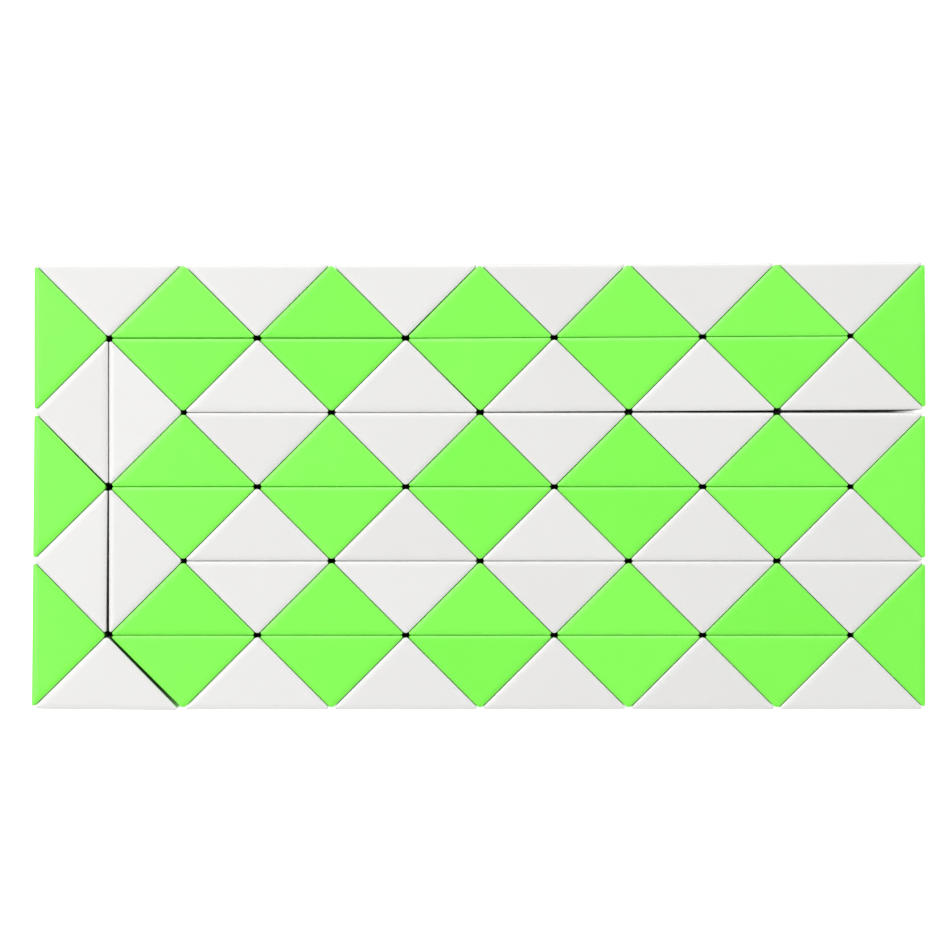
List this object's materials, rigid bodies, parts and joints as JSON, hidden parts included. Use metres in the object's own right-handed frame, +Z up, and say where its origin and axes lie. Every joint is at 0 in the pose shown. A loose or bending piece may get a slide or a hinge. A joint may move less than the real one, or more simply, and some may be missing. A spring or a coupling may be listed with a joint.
{
  "type": "twisty snake puzzle",
  "caption": "Chain of right-angled plastic wedges on spring-loaded twist joints, folded flat into a rectangle of alternating green and white triangles.",
  "frame": {"origin": "middle of the underside of the folded rectangle, on the surface that it lies on", "axes": "+X along the long side, +Y along the short side towards row 1, +Z up through the thickness"},
  "size_m": [0.1444, 0.0724, 0.017],
  "materials": {
    "green_plastic": "satin",
    "white_plastic": "satin",
    "steel": "satin",
    "spring_steel": "gloss"
  },
  "bodies": {
    "end_wedge": {"end_wedge_shell_and_cap": "white_plastic"},
    "second_wedge": {"second_wedge_shell": "green_plastic", "second_wedge_cap": "green_plastic", "second_wedge_screw_and_spring": "steel"},
    "column": {"column_green_shells": "green_plastic", "column_white_shells": "white_plastic", "column_green_caps": "green_plastic", "column_white_caps": "white_plastic", "column_screws_and_springs": "steel"},
    "row_1": {"row_1_green_shells": "green_plastic", "row_1_white_shells": "white_plastic", "row_1_green_caps": "green_plastic", "row_1_white_caps": "white_plastic", "row_1_screws": "steel", "row_1_springs": "spring_steel"},
    "turn_wedge_1": {"turn_wedge_1_shell": "green_plastic", "turn_wedge_1_cap": "green_plastic", "turn_wedge_1_screw_and_spring": "steel"},
    "row_2": {"row_2_green_shells": "green_plastic", "row_2_white_shells": "white_plastic", "row_2_green_caps": "green_plastic", "row_2_white_caps": "white_plastic", "row_2_screws": "steel", "row_2_springs": "spring_steel"},
    "turn_wedge_2": {"turn_wedge_2_shell": "white_plastic", "turn_wedge_2_cap": "white_plastic", "turn_wedge_2_screw_and_spring": "steel"},
    "row_3": {"row_3_green_shells": "green_plastic", "row_3_white_shells": "white_plastic", "row_3_green_caps": "green_plastic", "row_3_white_caps": "white_plastic", "row_3_screws": "steel", "row_3_springs": "spring_steel"},
    "turn_wedge_3": {"turn_wedge_3_shell": "green_plastic", "turn_wedge_3_cap": "green_plastic", "turn_wedge_3_screw_and_spring": "steel"},
    "row_4": {"row_4_green_shells": "green_plastic", "row_4_white_shells": "white_plastic", "row_4_green_caps": "green_plastic", "row_4_white_caps": "white_plastic", "row_4_screws": "steel", "row_4_springs": "spring_steel"},
    "turn_wedge_4": {"turn_wedge_4_shell": "white_plastic", "turn_wedge_4_cap": "white_plastic", "turn_wedge_4_screw_and_spring": "steel"},
    "row_5": {"row_5_green_shells": "green_plastic", "row_5_white_shells": "white_plastic", "row_5_green_caps": "green_plastic", "row_5_white_caps": "white_plastic", "row_5_screws": "steel", "row_5_springs": "spring_steel"},
    "turn_wedge_5": {"turn_wedge_5_shell": "green_plastic", "turn_wedge_5_cap": "green_plastic", "turn_wedge_5_screw_and_spring": "steel"},
    "row_6": {"row_6_green_shells": "green_plastic", "row_6_white_shells": "white_plastic", "row_6_green_caps": "green_plastic", "row_6_white_caps": "white_plastic", "row_6_screws": "steel", "row_6_springs": "spring_steel"}
  },
  "joints": [
    {"name": "end_wedge_twist", "type": "hinge", "parent": "second_wedge", "child": "end_wedge", "pos_m": [-0.06622, -0.03013, 0.00849], "axis": [0.7009, -0.7133, 0], "range_deg": [-0.5, 0.5]},
    {"name": "second_wedge_twist", "type": "hinge", "parent": "column", "child": "second_wedge", "pos_m": [-0.06611, -0.01814, 0.00849], "axis": [0.7133, 0.7009, 0], "continuous": true},
    {"name": "row_1_twist", "type": "hinge", "parent": "column", "child": "row_1", "pos_m": [-0.06585, 0.02992, 0.00849], "axis": [-0.7071, -0.7071, 0], "range_deg": [-0.5, 0.5]},
    {"name": "turn_wedge_1_twist", "type": "hinge", "parent": "row_1", "child": "turn_wedge_1", "pos_m": [0.06618, 0.03026, 0.00849], "axis": [-0.7108, 0.7034, 0], "range_deg": [-0.5, 0.5]},
    {"name": "row_2_twist", "type": "hinge", "parent": "turn_wedge_1", "child": "row_2", "pos_m": [0.06624, 0.01826, 0.00849], "axis": [0.7034, 0.7108, 0], "range_deg": [-0.5, 0.5]},
    {"name": "turn_wedge_2_twist", "type": "hinge", "parent": "row_2", "child": "turn_wedge_2", "pos_m": [-0.05379, 0.01785, 0.00849], "axis": [-0.7071, -0.7071, 0], "range_deg": [-0.5, 0.5]},
    {"name": "row_3_twist", "type": "hinge", "parent": "turn_wedge_2", "child": "row_3", "pos_m": [-0.05379, 0.00585, 0.00849], "axis": [0.7071, -0.7071, 0], "range_deg": [-0.5, 0.5]},
    {"name": "turn_wedge_3_twist", "type": "hinge", "parent": "row_3", "child": "turn_wedge_3", "pos_m": [0.06621, 0.00585, 0.00849], "axis": [0.7071, -0.7071, 0], "range_deg": [-0.5, 0.5]},
    {"name": "row_4_twist", "type": "hinge", "parent": "turn_wedge_3", "child": "row_4", "pos_m": [0.06621, -0.00615, 0.00849], "axis": [-0.7071, -0.7071, 0], "range_deg": [-0.5, 0.5]},
    {"name": "turn_wedge_4_twist", "type": "hinge", "parent": "row_4", "child": "turn_wedge_4", "pos_m": [-0.05379, -0.00615, 0.00849], "axis": [0.7071, 0.7071, 0], "range_deg": [-0.5, 0.5]},
    {"name": "row_5_twist", "type": "hinge", "parent": "turn_wedge_4", "child": "row_5", "pos_m": [-0.05379, -0.01815, 0.00849], "axis": [-0.7071, 0.7071, 0], "range_deg": [-0.5, 0.5]},
    {"name": "turn_wedge_5_twist", "type": "hinge", "parent": "row_5", "child": "turn_wedge_5", "pos_m": [0.06621, -0.01815, 0.00849], "axis": [-0.7071, 0.7071, 0], "range_deg": [-0.5, 0.5]},
    {"name": "row_6_twist", "type": "hinge", "parent": "turn_wedge_5", "child": "row_6", "pos_m": [0.06621, -0.03015, 0.00849], "axis": [0.7071, 0.7071, 0], "range_deg": [-0.5, 0.5]}
  ]
}
